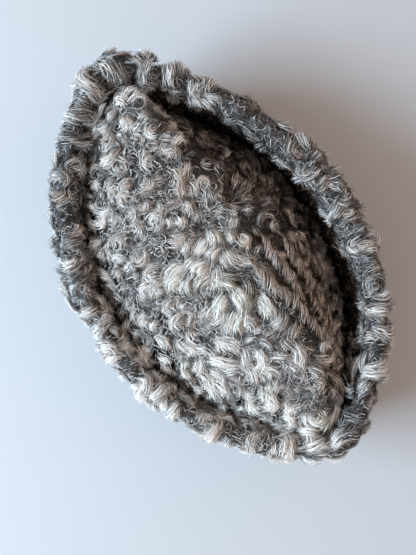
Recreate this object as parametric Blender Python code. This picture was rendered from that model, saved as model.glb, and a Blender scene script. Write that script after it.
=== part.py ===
"""Karakul cap: a turned-up cuff of curly lambskin round a peaked, hollow crown.

The cap stands on its hem at z = 0. +X runs along its length to the tip beside the cuff's seam,
+Y to the side where the gap between crown and cuff is wide, +Z up. Metres throughout.
"""
import math
import random
from collections import namedtuple

import bmesh
import bpy
from mathutils import Vector

# Driving dimensions
CAP_LENGTH = 0.284          # tip to tip, over the fleece of the cuff's roll
CAP_WIDTH = 0.183           # side to side, over the fleece of the cuff's roll
CUFF_HEIGHT = 0.090         # hem to the skin on top of the roll
CROWN_HEIGHT = 0.096        # hem to the skin of the crown's ridge
CROWN_THICKNESS = 0.009     # skin and fleece of the crown, at the ridge
CUFF_LOCK_DEPTH = 0.0042    # from the partings of the fleece to the tops of its locks
CROWN_LOCK_DEPTH = 0.0038
TIP_RISE = 0.008            # how much higher the cuff stands at its tips than at its sides
WALL_AT_TIP = 0.0215        # the cuff's hem, from the cap's full length in to its inner edge
WALL_AT_SIDE = 0.0185       # the same across the width
GAP_AT_TIP = 0.0008         # between the hems of cuff and crown
GAP_AT_SIDE = 0.0004
MIDDLE_X = 0.00186          # where the outline's middle lies, which puts the cap's box over the origin
MIDDLE_Y = 0.00014

# The grids that carry the locks: three columns of a grid to each lock, three rows to each band
COLUMNS_PER_LOCK = 3
COLUMNS_PER_PIPE = 6
PIPES_FROM = 0.1            # the share of the crown's half length where the long pipes start
FULL_COLUMN = 0.0040        # columns closer than this, beside the ridge, carry shallower locks
ROWS_PER_BAND = 3
CUFF_LOCKS_ROUND = 46
CUFF_BANDS = 8
CROWN_LOCKS_ROUND = 32
CROWN_BANDS = 6
INSIDE_ROWS = 5

# How finely the outline and the sections are walked to space the grids' points evenly
ANGLE_STEPS = 4000
LEVEL_STEPS = 40
MEAN_FULLNESS = 0.68
WELD = 0.00005

# Sections of the cuff, from the outer hem over the roll to the inner hem. rise is a share of the
# cuff's height. tip and blunt are the distances in from the cap's full length at +X and -X, side
# and left the ones from its full width at +Y and -Y. fullness shapes the outline (0.5 is an
# ellipse, 1 a sharp lens), and sharper is added to it except between +X and +Y. fleece is the
# share of the locks' depth.
CuffLevel = namedtuple("CuffLevel", "rise tip blunt side left fullness sharper fleece")
CUFF_LEVELS = (
    CuffLevel(0.00, 0.0075, 0.0075, 0.0062, 0.0062, 0.670, 0.00, 0.0),    # outer hem
    CuffLevel(0.11, 0.0072, 0.0072, 0.0060, 0.0060, 0.670, 0.00, 0.6),
    CuffLevel(0.37, 0.0070, 0.0070, 0.0058, 0.0058, 0.675, 0.00, 1.0),    # outer wall
    CuffLevel(0.62, 0.0056, 0.0056, 0.0046, 0.0046, 0.685, 0.00, 1.0),
    CuffLevel(0.84, 0.0028, 0.0028, 0.0024, 0.0024, 0.694, 0.00, 1.0),    # widest
    CuffLevel(0.96, 0.0065, 0.0058, 0.0058, 0.0050, 0.694, 0.00, 1.0),
    CuffLevel(1.00, 0.0110, 0.0098, 0.0120, 0.0096, 0.685, 0.00, 1.0),    # top of the roll
    CuffLevel(0.95, 0.0150, 0.0130, 0.0178, 0.0136, 0.655, 0.05, 1.0),
    CuffLevel(0.83, 0.0162, 0.0142, 0.0195, 0.0150, 0.635, 0.11, 1.0),    # innermost
    CuffLevel(0.69, 0.0180, 0.0158, 0.0190, 0.0153, 0.630, 0.11, 0.6),
    CuffLevel(0.43, 0.0200, 0.0186, 0.0188, 0.0168, 0.625, 0.06, 0.2),    # inner wall
    CuffLevel(0.00, WALL_AT_TIP, WALL_AT_TIP, WALL_AT_SIDE, WALL_AT_SIDE, 0.620, 0.00, 0.0),
)

# Swells and hollows of the cuff's outline: by how much it stands out at an angle round the cap
Swell = namedtuple("Swell", "degrees out")
CUFF_SWELLS = (
    Swell(degrees=0, out=-0.0015),
    Swell(degrees=23, out=-0.0020),
    Swell(degrees=30, out=-0.0055),     # the seam where the strip's two ends meet
    Swell(degrees=37, out=0.0005),
    Swell(degrees=56, out=0.0018),
    Swell(degrees=95, out=0.0),
    Swell(degrees=118, out=-0.0040),
    Swell(degrees=140, out=0.0),
    Swell(degrees=163, out=0.0035),     # the blunt tip
    Swell(degrees=182, out=0.0),
    Swell(degrees=205, out=-0.0008),
    Swell(degrees=265, out=0.0010),
    Swell(degrees=310, out=0.0006),
    Swell(degrees=342, out=-0.0018),
)

# Sections of the crown from the hem up to the ridge, in the same terms. rise is a share of the
# crown's height, and shift moves a section to +Y. At the ridge the two sides meet in a line. The
# crown's blunt end leans to +Y as well.
HEM_TIP = WALL_AT_TIP + GAP_AT_TIP
HEM_SIDE = WALL_AT_SIDE + GAP_AT_SIDE
RIDGE_SIDE = CAP_WIDTH / 2
LEAN_OF_BLUNT_END = 0.008
LEAN_FROM = -0.080          # the lean starts here and is full at the next
LEAN_FULL = -0.115
CrownLevel = namedtuple("CrownLevel", "rise tip blunt side left shift fullness sharper fleece")
CROWN_OUTSIDE = (
    CrownLevel(0.00, HEM_TIP, HEM_TIP, HEM_SIDE, HEM_SIDE, 0.0000, 0.620, 0.00, 0.0),
    CrownLevel(0.23, 0.0245, 0.0245, 0.0225, 0.0222, -0.0010, 0.620, 0.06, 0.1),
    CrownLevel(0.52, 0.0260, 0.0250, 0.0295, 0.0262, -0.0030, 0.620, 0.20, 0.6),
    CrownLevel(0.71, 0.0262, 0.0243, 0.0355, 0.0300, -0.0045, 0.625, 0.25, 1.0),
    CrownLevel(0.81, 0.0260, 0.0240, 0.0420, 0.0356, -0.0050, 0.630, 0.25, 1.0),
    CrownLevel(0.90, 0.0300, 0.0246, 0.0515, 0.0465, -0.0030, 0.650, 0.22, 1.0),
    CrownLevel(0.95, 0.0390, 0.0275, 0.0645, 0.0595, 0.0020, 0.670, 0.18, 1.0),
    CrownLevel(0.99, 0.0500, 0.0340, 0.0795, 0.0775, 0.0070, 0.690, 0.10, 1.0),
    CrownLevel(1.00, 0.0580, 0.0400, RIDGE_SIDE, RIDGE_SIDE, 0.0090, 0.700, 0.00, 0.6),
)

# The hollow for the head, in shares of the crown's height less its thickness
CROWN_INSIDE = (
    CrownLevel(0.00, 0.0295, 0.0295, 0.0265, 0.0265, 0.0000, 0.620, 0.00, 0.0),
    CrownLevel(0.25, 0.0330, 0.0330, 0.0305, 0.0305, -0.0010, 0.620, 0.00, 0.0),
    CrownLevel(0.55, 0.0390, 0.0390, 0.0375, 0.0375, -0.0030, 0.620, 0.00, 0.0),
    CrownLevel(0.76, 0.0430, 0.0430, 0.0465, 0.0465, -0.0045, 0.630, 0.00, 0.0),
    CrownLevel(0.89, 0.0520, 0.0520, 0.0595, 0.0595, -0.0025, 0.650, 0.00, 0.0),
    CrownLevel(0.97, 0.0610, 0.0610, 0.0775, 0.0775, 0.0050, 0.680, 0.00, 0.0),
    CrownLevel(1.00, 0.0670, 0.0670, RIDGE_SIDE, RIDGE_SIDE, 0.0085, 0.700, 0.00, 0.0),
)

# Folds, dents and humps of the crown's top: pushed up along the line from x, y to to_x, to_y
Fold = namedtuple("Fold", "x y to_x to_y push radius")
CROWN_FOLDS = (
    Fold(x=-0.111, y=0.002, to_x=-0.109, to_y=0.010, push=0.0040, radius=0.010),     # knob at the tip
    Fold(x=-0.097, y=-0.010, to_x=-0.098, to_y=0.020, push=-0.0045, radius=0.006),   # crease behind it
    Fold(x=-0.030, y=-0.032, to_x=-0.012, to_y=-0.026, push=0.0030, radius=0.020),   # left swelling
    Fold(x=0.033, y=-0.043, to_x=0.033, to_y=-0.040, push=-0.0050, radius=0.009),    # dark hollow
    Fold(x=0.032, y=-0.030, to_x=0.064, to_y=-0.023, push=-0.0022, radius=0.004),    # thin seam
    Fold(x=-0.026, y=0.029, to_x=0.054, to_y=0.036, push=-0.0030, radius=0.005),     # right valley
    Fold(x=0.010, y=0.004, to_x=0.045, to_y=0.012, push=0.0020, radius=0.014),       # high middle
)


def clear_scene():
    """Start from an empty scene."""
    for thing in list(bpy.data.objects):
        bpy.data.objects.remove(thing, do_unlink=True)


def material(name, colour, roughness):
    """A plain principled material in the part's own colour."""
    made = bpy.data.materials.new(name)
    made.use_nodes = True
    shader = made.node_tree.nodes["Principled BSDF"]
    shader.inputs["Base Color"].default_value = (*colour, 1.0)
    shader.inputs["Roughness"].default_value = roughness
    shader.inputs["Metallic"].default_value = 0.0
    return made


def lens_point(angle, half_length, half_width, fullness):
    """A point on a lens-shaped outline with blunt pointed ends, at an angle round it."""
    sine = math.sin(angle)
    across = math.copysign(abs(sine) ** (2.0 * fullness), sine)
    return half_length * math.cos(angle), half_width * across


def section_point(angle, level):
    """A point on a level's outline, which has its own inset at each tip and on each side."""
    ahead = math.cos(angle) > 0.0
    right = math.sin(angle) > 0.0
    half_length = CAP_LENGTH / 2 - (level.tip if ahead else level.blunt)
    half_width = CAP_WIDTH / 2 - (level.side if right else level.left)
    sharper = 0.0 if ahead and right else level.sharper
    return lens_point(angle, half_length, half_width, level.fullness + sharper)


def even_angles(count):
    """Angles that space the columns evenly round the cap's outline."""
    places = [lens_point(math.tau * i / ANGLE_STEPS, CAP_LENGTH / 2, CAP_WIDTH / 2, MEAN_FULLNESS)
              for i in range(ANGLE_STEPS + 1)]
    walked = [0.0]
    for before, after in zip(places, places[1:]):
        walked.append(walked[-1] + math.dist(before, after))
    angles = []
    step = 0
    for column in range(count):
        target = walked[-1] * column / count
        while walked[step + 1] < target:
            step += 1
        part = (target - walked[step]) / (walked[step + 1] - walked[step])
        angles.append(math.tau * (step + part) / ANGLE_STEPS)
    return angles


def smooth_between(before, start, end, after, part):
    """One value of a smooth curve that passes through start and end."""
    return 0.5 * (2 * start + (end - before) * part
                  + (2 * before - 5 * start + 4 * end - after) * part ** 2
                  + (3 * start - before - 3 * end + after) * part ** 3)


def even_levels(table, count, height):
    """The table's rows as count + 1 rows, evenly spaced along the section at the cap's side."""
    kind = type(table[0])
    fine = []
    for i in range(len(table) - 1):
        four = (table[max(i - 1, 0)], table[i], table[i + 1], table[min(i + 2, len(table) - 1)])
        for step in range(LEVEL_STEPS):
            part = step / LEVEL_STEPS
            fine.append(kind(*(smooth_between(*values, part) for values in zip(*four))))
    fine.append(table[-1])
    walked = [0.0]
    for before, after in zip(fine, fine[1:]):
        stride = math.hypot((after.rise - before.rise) * height, after.side - before.side)
        walked.append(walked[-1] + stride)
    rows = []
    for row in range(count + 1):
        target = walked[-1] * row / count
        nearest = min(range(len(fine)), key=lambda i: abs(walked[i] - target))
        rows.append(fine[nearest])
    return rows


def swell_at(angle):
    """How far the cuff's outline stands out at an angle, eased between the table's rows."""
    degrees = math.degrees(angle) % 360.0
    rows = list(CUFF_SWELLS) + [Swell(360 + CUFF_SWELLS[0].degrees, CUFF_SWELLS[0].out)]
    for low, high in zip(rows, rows[1:]):
        if low.degrees <= degrees <= high.degrees:
            part = (degrees - low.degrees) / (high.degrees - low.degrees)
            ease = part * part * (3.0 - 2.0 * part)
            return low.out + (high.out - low.out) * ease
    return 0.0


def lean_at(x):
    """How far the crown's blunt end leans to +Y."""
    part = min(max((LEAN_FROM - x) / (LEAN_FROM - LEAN_FULL), 0.0), 1.0)
    return LEAN_OF_BLUNT_END * part * part * (3.0 - 2.0 * part)


def fold_at(x, y):
    """How far the crown's top is pushed up or down at a place by its folds."""
    push = 0.0
    for fold in CROWN_FOLDS:
        run_x = fold.to_x - fold.x
        run_y = fold.to_y - fold.y
        part = ((x - fold.x) * run_x + (y - fold.y) * run_y) / (run_x ** 2 + run_y ** 2)
        part = min(max(part, 0.0), 1.0)
        away = math.hypot(x - fold.x - run_x * part, y - fold.y - run_y * part) / fold.radius
        push += fold.push * math.exp(-away * away)
    return push


def surface_normals(grid):
    """Outward directions of a grid of rows that each run once round the cap."""
    columns = len(grid[0])
    normals = []
    for row, ring in enumerate(grid):
        below = grid[max(row - 1, 0)]
        above = grid[min(row + 1, len(grid) - 1)]
        line = []
        for column in range(columns):
            along = ring[(column + 1) % columns] - ring[column - 1]
            up = above[column] - below[column]
            line.append(along.cross(up).normalized())
        normals.append(line)
    return normals


class Locks:
    """The curled locks of a fleece: bands of locks, each band set off against the one below.

    On the crown's half towards +X the locks are long pipes that lie along the cap.
    """

    def __init__(self, seed, bands, locks_round, depth, pipes):
        draw = random.Random(seed)
        self.pipes = pipes
        self.columns = locks_round * COLUMNS_PER_LOCK
        self.depth = depth
        self.offset = [(band * 2 + draw.randrange(2)) % COLUMNS_PER_LOCK for band in range(bands)]
        self.height = [[draw.uniform(0.55, 1.0) for _ in range(locks_round)] for _ in range(bands)]
        self.lean = [[draw.uniform(-0.3, 0.3) for _ in range(locks_round)] for _ in range(bands)]

    def raise_and_lean(self, row, column):
        """Height of a point over the skin, and its lean along the row, for a row and a column."""
        band = min(row // ROWS_PER_BAND, len(self.offset) - 1)
        place = (column + self.offset[band]) % self.columns
        lock = place // COLUMNS_PER_LOCK
        in_pipes = self.pipes and math.cos(math.tau * column / self.columns) > PIPES_FROM
        count = COLUMNS_PER_PIPE if in_pipes else COLUMNS_PER_LOCK
        if in_pipes:
            lock -= lock % (COLUMNS_PER_PIPE // COLUMNS_PER_LOCK)
        across = 0.0 if place % count == 0 else 1.0
        along = (0.10, 1.0, 0.80)[row % ROWS_PER_BAND]
        rise = self.depth * self.height[band][lock] * across * along
        return rise, self.depth * self.lean[band][lock] * across


def add_locks(grid, fleece, locks):
    """The grid with its locks raised; fleece gives each row's share of their full depth."""
    normals = surface_normals(grid)
    columns = len(grid[0])
    raised = []
    for row, ring in enumerate(grid):
        line = []
        for column, point in enumerate(ring):
            rise, lean = locks.raise_and_lean(row, column)
            side = ring[(column + 1) % columns] - ring[column - 1]
            room = min(1.0, side.length / (2.0 * FULL_COLUMN))
            push = normals[row][column] * rise + side.normalized() * lean
            line.append(point + push * fleece[row] * room)
        raised.append(line)
    return raised


def cuff_grid():
    """Rows of points of the cuff's skin, from the outer hem over the roll to the inner hem."""
    angles = even_angles(CUFF_LOCKS_ROUND * COLUMNS_PER_LOCK)
    levels = even_levels(CUFF_LEVELS, CUFF_BANDS * ROWS_PER_BAND, CUFF_HEIGHT)
    grid = []
    for level in levels:
        ring = []
        for angle in angles:
            outward = swell_at(angle)
            x, y = section_point(angle, level)
            reach = math.hypot(x, y)
            x += x / reach * outward * level.rise
            y += y / reach * outward * level.rise
            z = (CUFF_HEIGHT + TIP_RISE * math.cos(angle) ** 4) * level.rise
            ring.append(Vector((x + MIDDLE_X, y + MIDDLE_Y, z)))
        grid.append(ring)
    return grid, [level.fleece for level in levels]


def crown_grid(table, rows, height, outside):
    """Rows of points of the crown's skin, from the hem up to the ridge."""
    angles = even_angles(CROWN_LOCKS_ROUND * COLUMNS_PER_LOCK)
    levels = even_levels(table, rows, height)
    grid = []
    for level in levels:
        ring = []
        for angle in angles:
            x, y = section_point(angle, level)
            y += level.shift
            push = 0.0
            if outside:
                y += lean_at(x) * min(1.0, level.rise / 0.7)
                push = fold_at(x, y) * level.fleece
            ring.append(Vector((x + MIDDLE_X, y + MIDDLE_Y, height * level.rise + push)))
        grid.append(ring)
    return grid, [level.fleece for level in levels]


def add_rings(mesh, grid):
    """Vertices of a grid, ring by ring."""
    return [[mesh.verts.new(point) for point in ring] for ring in grid]


def bridge(mesh, lower, upper):
    """Faces between two rings of the same count."""
    count = len(lower)
    for column in range(count):
        after = (column + 1) % count
        mesh.faces.new((lower[column], lower[after], upper[after], upper[column]))


def finish(mesh, name, surface, collection):
    """Weld the bmesh, split its faces into triangles and put it in the scene as an object."""
    bmesh.ops.remove_doubles(mesh, verts=mesh.verts, dist=WELD)
    bmesh.ops.triangulate(mesh, faces=mesh.faces)
    bmesh.ops.recalc_face_normals(mesh, faces=mesh.faces)
    data = bpy.data.meshes.new(name)
    mesh.to_mesh(data)
    mesh.free()
    data.materials.append(surface)
    data.shade_smooth()
    made = bpy.data.objects.new(name, data)
    collection.objects.link(made)
    return made


def build_cuff(collection):
    """The turned-up wall: one closed ring with its roll on top and a flat hem."""
    grid, fleece = cuff_grid()
    locks = Locks(11, CUFF_BANDS, CUFF_LOCKS_ROUND, CUFF_LOCK_DEPTH, pipes=False)
    mesh = bmesh.new()
    rings = add_rings(mesh, add_locks(grid, fleece, locks))
    for lower, upper in zip(rings, rings[1:]):
        bridge(mesh, lower, upper)
    bridge(mesh, rings[-1], rings[0])
    return finish(mesh, "cuff", material("cuff fleece", (0.27, 0.28, 0.30), 0.85), collection)


def build_crown(collection):
    """The peaked top: a shell with its locks outside and a smooth hollow below."""
    outside, fleece = crown_grid(CROWN_OUTSIDE, CROWN_BANDS * ROWS_PER_BAND, CROWN_HEIGHT, True)
    inside, _ = crown_grid(CROWN_INSIDE, INSIDE_ROWS, CROWN_HEIGHT - CROWN_THICKNESS, False)
    locks = Locks(23, CROWN_BANDS, CROWN_LOCKS_ROUND, CROWN_LOCK_DEPTH, pipes=True)
    mesh = bmesh.new()
    outer = add_rings(mesh, add_locks(outside, fleece, locks)[:-1])
    outer += add_rings(mesh, [outside[-1]])
    inner = add_rings(mesh, inside)
    for rings in (outer, inner):
        for lower, upper in zip(rings, rings[1:]):
            bridge(mesh, lower, upper)
    bridge(mesh, outer[0], inner[0])
    return finish(mesh, "crown", material("crown fleece", (0.36, 0.35, 0.34), 0.85), collection)


def main():
    clear_scene()
    collection = bpy.data.collections.new("karakul cap")
    bpy.context.scene.collection.children.link(collection)
    build_cuff(collection)
    build_crown(collection)


main()
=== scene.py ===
"""Karakul cap of grey curly lambskin: locks of fine fibres over the skins of its cuff and crown."""
import math

import bmesh
import bpy
import numpy as np
from mathutils import Matrix, Quaternion, Vector, noise
from mathutils.bvhtree import BVHTree


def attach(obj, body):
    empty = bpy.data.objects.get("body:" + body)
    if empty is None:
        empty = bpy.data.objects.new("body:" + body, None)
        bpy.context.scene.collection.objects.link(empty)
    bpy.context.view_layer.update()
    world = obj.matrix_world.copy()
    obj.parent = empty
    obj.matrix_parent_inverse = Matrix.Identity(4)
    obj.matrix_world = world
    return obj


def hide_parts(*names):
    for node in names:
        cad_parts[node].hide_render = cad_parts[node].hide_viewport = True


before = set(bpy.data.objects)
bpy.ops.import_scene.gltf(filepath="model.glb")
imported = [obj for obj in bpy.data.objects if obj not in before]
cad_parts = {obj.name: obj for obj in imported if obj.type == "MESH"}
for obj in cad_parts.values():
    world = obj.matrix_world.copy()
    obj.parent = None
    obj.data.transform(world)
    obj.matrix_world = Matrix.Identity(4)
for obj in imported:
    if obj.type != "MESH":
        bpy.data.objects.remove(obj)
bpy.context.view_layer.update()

# The photograph's frame, and where the cap lies in it
PHOTO_WIDTH = 416
PHOTO_HEIGHT = 555
CAP_MIDDLE_PX = (219.9, 259.7)
CAP_TURN = math.radians(56.27)          # the cap's length, clockwise from the picture's right
METRES_PER_PX = 0.000605                # at the height of the roll
ROLL_HEIGHT = 0.085
CAMERA_DISTANCE = 0.50                  # above the roll
SENSOR = 0.036

# The cap's outline, as the part has it
HALF_LENGTH = 0.142
HALF_WIDTH = 0.0915
FULLNESS = 0.694
ROLL_IN = 0.0120                        # the roll's middle, in from the outline
ROLL_IN_LEFT = 0.0098                   # the same at -Y
ROLL_FROM = 0.066                       # the height at which the wall becomes the roll
SKIN_DEPTH = 0.0024                     # from the fleece's mean outside down to the skin
SKIN_DEEP_FROM = 0.008                  # the height from which the skin is sunk that far
HEM_UP_TO = 0.001                       # what lies lower belongs to the hem
HOLLOW_MIDDLE = (0.085, -0.003, 0.012)  # the head hollow's axis: its reach along X, its Y and its Z
FIBRES_FROM = 0.0005                    # the lowest that a fibre may reach over the floor
MM = 0.001
UP = Vector((0.0, 0.0, 1.0))

# Where each set of random draws starts
SEEDS = {
    "crown_widths": 5,
    "cuff_widths": 6,
    "lumps": 9,
    "crown_mounds": 59,
    "crown_locks": 60,
    "crown_fleece_left": 61,
    "crown_fleece_ridge": 62,
    "crown_fleece_right": 63,
    "roll_mounds": 69,
    "cuff_locks": 70,
    "cuff_fleece_roll_left": 71,
    "cuff_fleece_roll_right": 72,
    "cuff_fleece_wall": 73,
    "cuff_fleece_trough": 74,
}

# Fibres
UNDERCOAT_POINTS = 3
UNDERCOAT_WIDTH = 1.5                   # times a lock fibre's
FIBRE_WIDTH = 0.00035
WALL_FIBRE_WIDTH = 0.00056
TIP_WIDTH = 0.30                        # as a share of the fibre's width

# Kinds of lock: points along a fibre, fibres in the lock, half width and height in mm, share of the
# lock's length that a fibre has, crimp of the lock and frizz of a fibre in mm, share of stray fibres
LOCK_KINDS = {
    "tuft": (4, 108, 6.0, 5.6, 0.48, 0.45, 0.34, 0.10),
    "curl": (4, 108, 5.4, 6.0, 0.44, 0.50, 0.36, 0.12),
    "ringlet": (5, 70, 3.1, 5.0, 0.56, 0.25, 0.26, 0.10),
    "flame": (5, 92, 5.8, 5.4, 0.68, 0.45, 0.26, 0.08),
    "fuzz": (4, 86, 5.0, 4.6, 0.58, 0.60, 0.50, 0.18),
    "roll": (4, 98, 5.8, 5.0, 0.46, 0.55, 0.42, 0.12),
    "wall": (4, 42, 5.6, 4.6, 0.60, 0.50, 0.30, 0.04),
    "deep": (4, 20, 4.2, 3.6, 0.60, 0.40, 0.35, 0.04),
}

# Twisted ribs: points along a fibre, fibres in 10 mm of a rib, frizz in mm, share of stray fibres
RIB_POINTS = 5
RIB_FIBRES = 100
RIB_FRIZZ = 0.34
RIB_STRAYS = 0.10

# Tones of the fibres, where 0 is charcoal and 1 is white
MEAN_TONE = 0.78
TONE_SPREAD = 0.17                      # from fibre to fibre in a lock
DARK_FIBRES_BY = 0.50                   # how much darker a dark fibre is
PALE_FIBRES_BY = 0.18
PALE_FIBRES_SHARE = 0.26

# Lengths and distances of the locks
SPLAY = 0.9                             # mm, how far the tips stray sideways from their lock's way
FLAME_SPLAY = 0.45                      # times that, for the long smooth locks
UNDERCOAT_LENGTH = 4.6                  # mm
CROWN_SPACING = 0.0068                  # between the middles of neighbouring locks
ROLL_SPACING = 0.0064
WALL_SPACING = 0.0080
TROUGH_SPACING = 0.0085
CROWN_PARTS = (-0.022, 0.017)           # y where one piece of the crown's fleece gives way to the next
CURLY_FROM = 0.016                      # y where the slope begins whose curls are small and stand apart
CROWN_MOUNDS = 0.0125                   # between the middles of neighbouring mounds of curls
ROLL_MOUNDS = 0.0145
MOUNDS_KEPT = 0.75                      # the share of them that is kept, so that their sizes differ
CREASE_WIDTH = 0.0028                   # where two mounds meet
CROWN_CREASES = (0.55, 0.0018)          # how much lower a lock is in a crease, and how high a mound is
ROLL_CREASES = (0.70, 0.0038)
CROWN_FROM = 0.020                      # the height at which the crown's locks start
TROUGH_FROM = 0.012                     # the same in the trough
STEEP_LOCK = 0.008                      # lengths of the locks that no zone gives
BETWEEN_RIBS_LOCK = 0.009
RINGLET_LOCK = 0.0145
ROLL_LOCK = 0.0130
WRAPPED_LOCK = 0.018
WALL_LOCK = 0.014
TROUGH_LOCK = 0.010
PARTING_IN = 0.005                      # from a mound's middle in to where its locks part
SPRAY = 1.3                             # how strongly the locks turn away from their parting
LUMP_WIDTHS = (0.011, 0.023)            # the narrowest and the widest tuft round the roll
LUMPS_LEAN = 0.008                      # how far a tuft may lean from the crest to its edge

# How the crown's fleece lies, zone by zone: place and reach in mm, flow in degrees from +X towards +Y,
# lock length in mm, turn along the lock in degrees, tone, hue, kind
CROWN_ZONES = (
    (-116, 6, 11, 96, 8, -80, 0.12, "ash", "tuft"),
    (-106, 12, 9, 60, 8, -110, 0.10, "ash", "curl"),
    (-111, -10, 10, -69, 9, -30, 0.16, "ash", "tuft"),
    (-92, 13, 10, 36, 7, -110, -0.02, "ash", "curl"),
    (-86, -12, 11, -44, 6, -130, 0.14, "ash", "curl"),
    (-72, 9, 11, -4, 6, -120, -0.08, "brown", "curl"),
    (-72, -32, 11, -34, 6, -110, 0.02, "ash", "curl"),
    (-60, -11, 11, -24, 6, -130, 0.06, "ash", "curl"),
    (-48, 10, 11, -4, 8, -100, -0.06, "brown", "curl"),
    (-48, -51, 10, -24, 5, -90, -0.04, "ash", "fuzz"),
    (-40, -32, 11, -44, 6, -140, 0.03, "ash", "curl"),
    (-32, -12, 11, -54, 9, -90, 0.05, "ash", "tuft"),
    (-31, 8, 11, 6, 9, -60, -0.03, "ash", "tuft"),
    (-10, 13, 8, -9, 12, -25, 0.16, "cream", "flame"),
    (-20, -60, 10, -14, 5, -80, -0.02, "ash", "fuzz"),
    (-9, -43, 10, -4, 6, -120, 0.05, "ash", "curl"),
    (2, -24, 10, -39, 12, 80, 0.16, "cream", "flame"),
    (-2, -8, 8, -44, 11, 60, 0.06, "ash", "flame"),
    (23, -1, 11, 1, 14, -85, 0.20, "cream", "flame"),
    (34, -15, 8, -44, 12, 30, 0.18, "cream", "flame"),
    (52, -7, 8, 36, 12, -110, 0.10, "ash", "flame"),
    (52, 4, 8, -49, 12, 50, 0.08, "ash", "flame"),
    (22, -31, 10, -44, 10, 110, 0.06, "ash", "tuft"),
    (11, -50, 10, -24, 6, -100, 0.02, "ash", "curl"),
    (8, -62, 10, -4, 5, -80, -0.02, "ash", "fuzz"),
    (29, -58, 10, 11, 5, -90, 0.02, "ash", "fuzz"),
    (43, -38, 11, -4, 9, -100, 0.04, "ash", "tuft"),
    (46, -54, 6, 16, 9, -30, 0.20, "cream", "tuft"),
    (64, -43, 10, 16, 9, -90, 0.14, "ash", "tuft"),
    (63, -24, 11, 21, 12, -60, 0.12, "ash", "flame"),
    (75, -1, 11, 26, 11, -110, 0.07, "ash", "fuzz"),
    (84, -29, 11, 21, 10, -60, 0.16, "cream", "tuft"),
    (98, -9, 11, -4, 9, -120, 0.08, "ash", "fuzz"),
    (118, -6, 10, 36, 10, -150, 0.24, "cream", "curl"),
    (95, 14, 10, -19, 9, -70, -0.04, "brown", "tuft"),
    (111, 11, 8, -24, 9, -60, 0.02, "ash", "tuft"),
    (-60, 35, 10, 1, 7, -120, -0.14, "brown", "curl"),
    (-28, 47, 10, 136, 9, -20, -0.02, "brown", "tuft"),
    (-42, 38, 8, -4, 8, -90, -0.10, "brown", "curl"),
    (-29, 24, 8, -4, 10, -80, -0.02, "brown", "tuft"),
    (-5, 49, 8, -4, 8, -160, -0.10, "brown", "curl"),
    (2, 27, 8, 0, 10, -90, -0.06, "brown", "curl"),
    (30, 20, 7, 4, 18, -10, 0.00, "brown", "rope"),
    (47, 27, 10, 8, 18, -10, -0.06, "brown", "rope"),
    (21, 45, 8, -4, 8, -180, -0.12, "brown", "curl"),
    (52, 43, 8, -14, 8, -180, -0.18, "brown", "curl"),
    (68, 27, 7, -4, 16, -10, -0.10, "brown", "rope"),
    (78, 36, 8, -4, 9, -90, -0.10, "brown", "curl"),
    (36, 50, 8, -4, 9, -90, -0.10, "brown", "curl"),
    (86, 28, 8, -24, 8, -90, -0.16, "brown", "curl"),
)

# Locks that stand out on the crown: place in mm, flow, length in mm, turn, half width in mm, tone, hue
SHOWN_LOCKS = (
    (-10, 13, -9, 17, -25, 1.9, 0.42, "cream"),
    (-26, -44, 56, 10, -300, 1.5, 0.12, "ash"),
    (2, -24, -39, 15, 80, 2.6, 0.34, "cream"),
    (6, -21, -39, 14, 80, 2.3, 0.28, "cream"),
    (18, -3, 11, 18, -85, 3.0, 0.34, "cream"),
    (24, -1, 1, 19, -90, 3.2, 0.34, "cream"),
    (29, -5, -14, 17, -80, 2.8, 0.30, "cream"),
    (34, -15, -44, 15, 40, 2.6, 0.32, "cream"),
    (38, -12, -40, 14, 50, 2.4, 0.28, "cream"),
    (50, -9, 50, 14, -130, 2.6, 0.22, "ash"),
    (55, -5, 45, 14, -130, 2.4, 0.20, "ash"),
    (46, -54, 16, 13, -50, 2.4, 0.40, "cream"),
    (113, -12, 60, 20, -260, 3.2, 0.56, "cream"),
    (116, -4, 150, 18, -240, 3.2, 0.54, "cream"),
    (121, -9, 10, 14, -200, 2.4, 0.46, "cream"),
    (104, -16, 20, 14, -120, 2.6, 0.40, "cream"),
    (-88, -14, -44, 10, -100, 2.2, 0.28, "ash"),
)

# Twisted ribs on the crown's slope at +Y: place of the middle in mm, flow, length in mm, turn, half
# width in mm, tone
RIBS = (
    (42, 34, 7, 56, 6, 5.0, -0.16),
    (46, 20, 14, 56, -4, 5.0, -0.12),
    (34, 44, 24, 32, -10, 4.8, -0.24),
    (80, 23, -4, 26, -14, 3.8, -0.14),
    (26, 26, 3, 42, 6, 4.4, -0.10),
    (62, 29, 10, 36, 6, 4.0, -0.14),
)

# Undercoat of each piece: number of fibres, tone and hue; the dark of the crown's +Y piece and of the
# trough is painted shade
CROWN_UNDERCOATS = {
    "left": (6000, 0.06, "ash"),
    "ridge": (6000, -0.10, "ash"),
    "right": (6000, -0.54, "brown"),
}
CUFF_UNDERCOATS = {
    "roll_left": (5000, 0.12, "ash"),
    "roll_right": (5000, -0.15, "ash"),
    "wall": (4500, 0.10, "ash"),
    "trough": (3500, -0.15, "brown"),
}

# Swellings of the crown's fleece: place and reach in mm, and how far it swells, in mm
SWELLINGS = (
    (-112, -12, 14, 9.0),
    (112, 10, 12, 4.0),
    (111, -9, 11, 6.0),
    (-100, -21, 11, 3.0),
    (-80, -24, 13, 2.0),
    (-56, -28, 14, 2.4),
    (-30, -20, 14, 2.4),
    (-38, -50, 12, 2.0),
    (-8, -52, 12, 2.4),
    (24, -50, 12, 2.4),
    (10, -16, 12, 2.0),
    (40, -30, 12, 2.2),
    (70, -36, 12, 2.4),
    (88, -14, 12, 2.0),
)

# Where the cuff's two ends meet, on the roll: from the outline inwards, in mm
SEAM_FROM = (126, 27)
SEAM_TO = (114, 20)
SEAM_HALF_WIDTH = 4.2

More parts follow.
